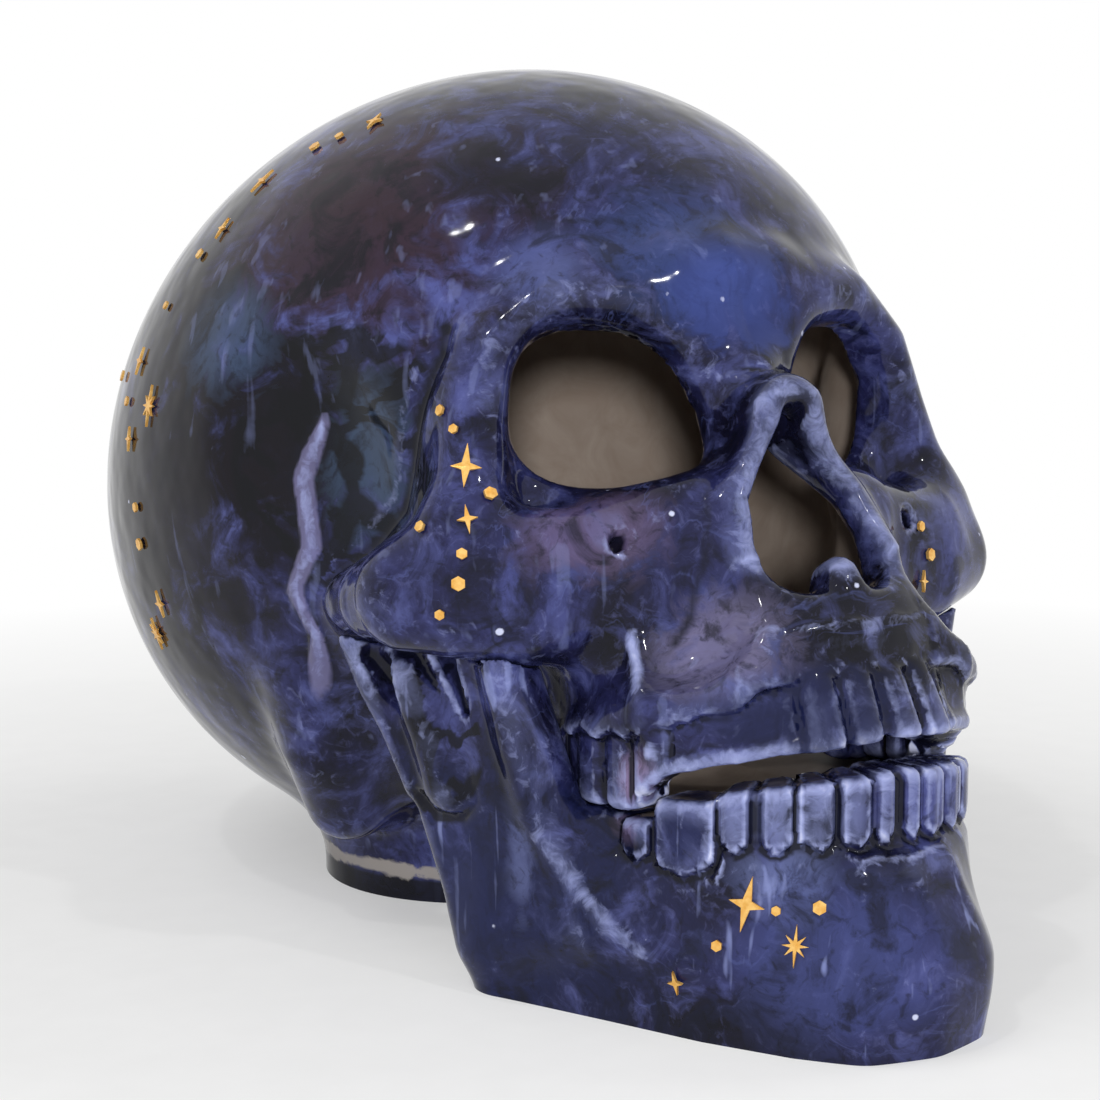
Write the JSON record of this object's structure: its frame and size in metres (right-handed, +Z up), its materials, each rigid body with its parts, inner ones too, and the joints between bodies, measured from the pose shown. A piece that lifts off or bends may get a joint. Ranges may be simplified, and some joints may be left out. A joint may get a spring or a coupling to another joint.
{
  "type": "decorative skull",
  "caption": "Hollow glazed ceramic human skull with open jaw, tilted back on a round foot, with raised gold lustre stars and dots.",
  "frame": {"origin": "middle of the skull's footprint, on the table that it stands on", "axes": "+Z up, -Y towards the face, +X towards the skull's own left side"},
  "size_m": [0.1586, 0.2303, 0.1648],
  "materials": {
    "night_glaze": "gloss",
    "jaw_glaze": "gloss",
    "gold_lustre": "polished"
  },
  "bodies": {
    "root": {"face_casting": "night_glaze", "mandible_casting": "jaw_glaze", "vault_casting": "night_glaze", "cheek_dot_1": "gold_lustre", "cheek_dot_2": "gold_lustre", "cheek_dot_3": "gold_lustre", "cheek_dot_4": "gold_lustre", "cheek_dot_5": "gold_lustre", "cheek_dot_6": "gold_lustre", "cheek_dot_7": "gold_lustre", "cheek_star_1": "gold_lustre", "cheek_star_2": "gold_lustre", "chin_dot_1": "gold_lustre", "chin_dot_2": "gold_lustre", "chin_dot_3": "gold_lustre", "chin_star_1": "gold_lustre", "chin_star_2": "gold_lustre", "chin_star_3": "gold_lustre", "far_cheek_dot_1": "gold_lustre", "far_cheek_dot_2": "gold_lustre", "far_cheek_star_1": "gold_lustre", "side_dot_1": "gold_lustre", "side_dot_2": "gold_lustre", "side_dot_3": "gold_lustre", "side_dot_4": "gold_lustre", "side_star_1": "gold_lustre", "side_star_2": "gold_lustre", "side_star_3": "gold_lustre", "side_star_4": "gold_lustre", "side_star_5": "gold_lustre", "temple_dot_1": "gold_lustre", "temple_dot_2": "gold_lustre", "temple_dot_3": "gold_lustre", "temple_dot_4": "gold_lustre", "temple_star_1": "gold_lustre", "temple_star_2": "gold_lustre", "temple_star_3": "gold_lustre"}
  },
  "joints": []
}
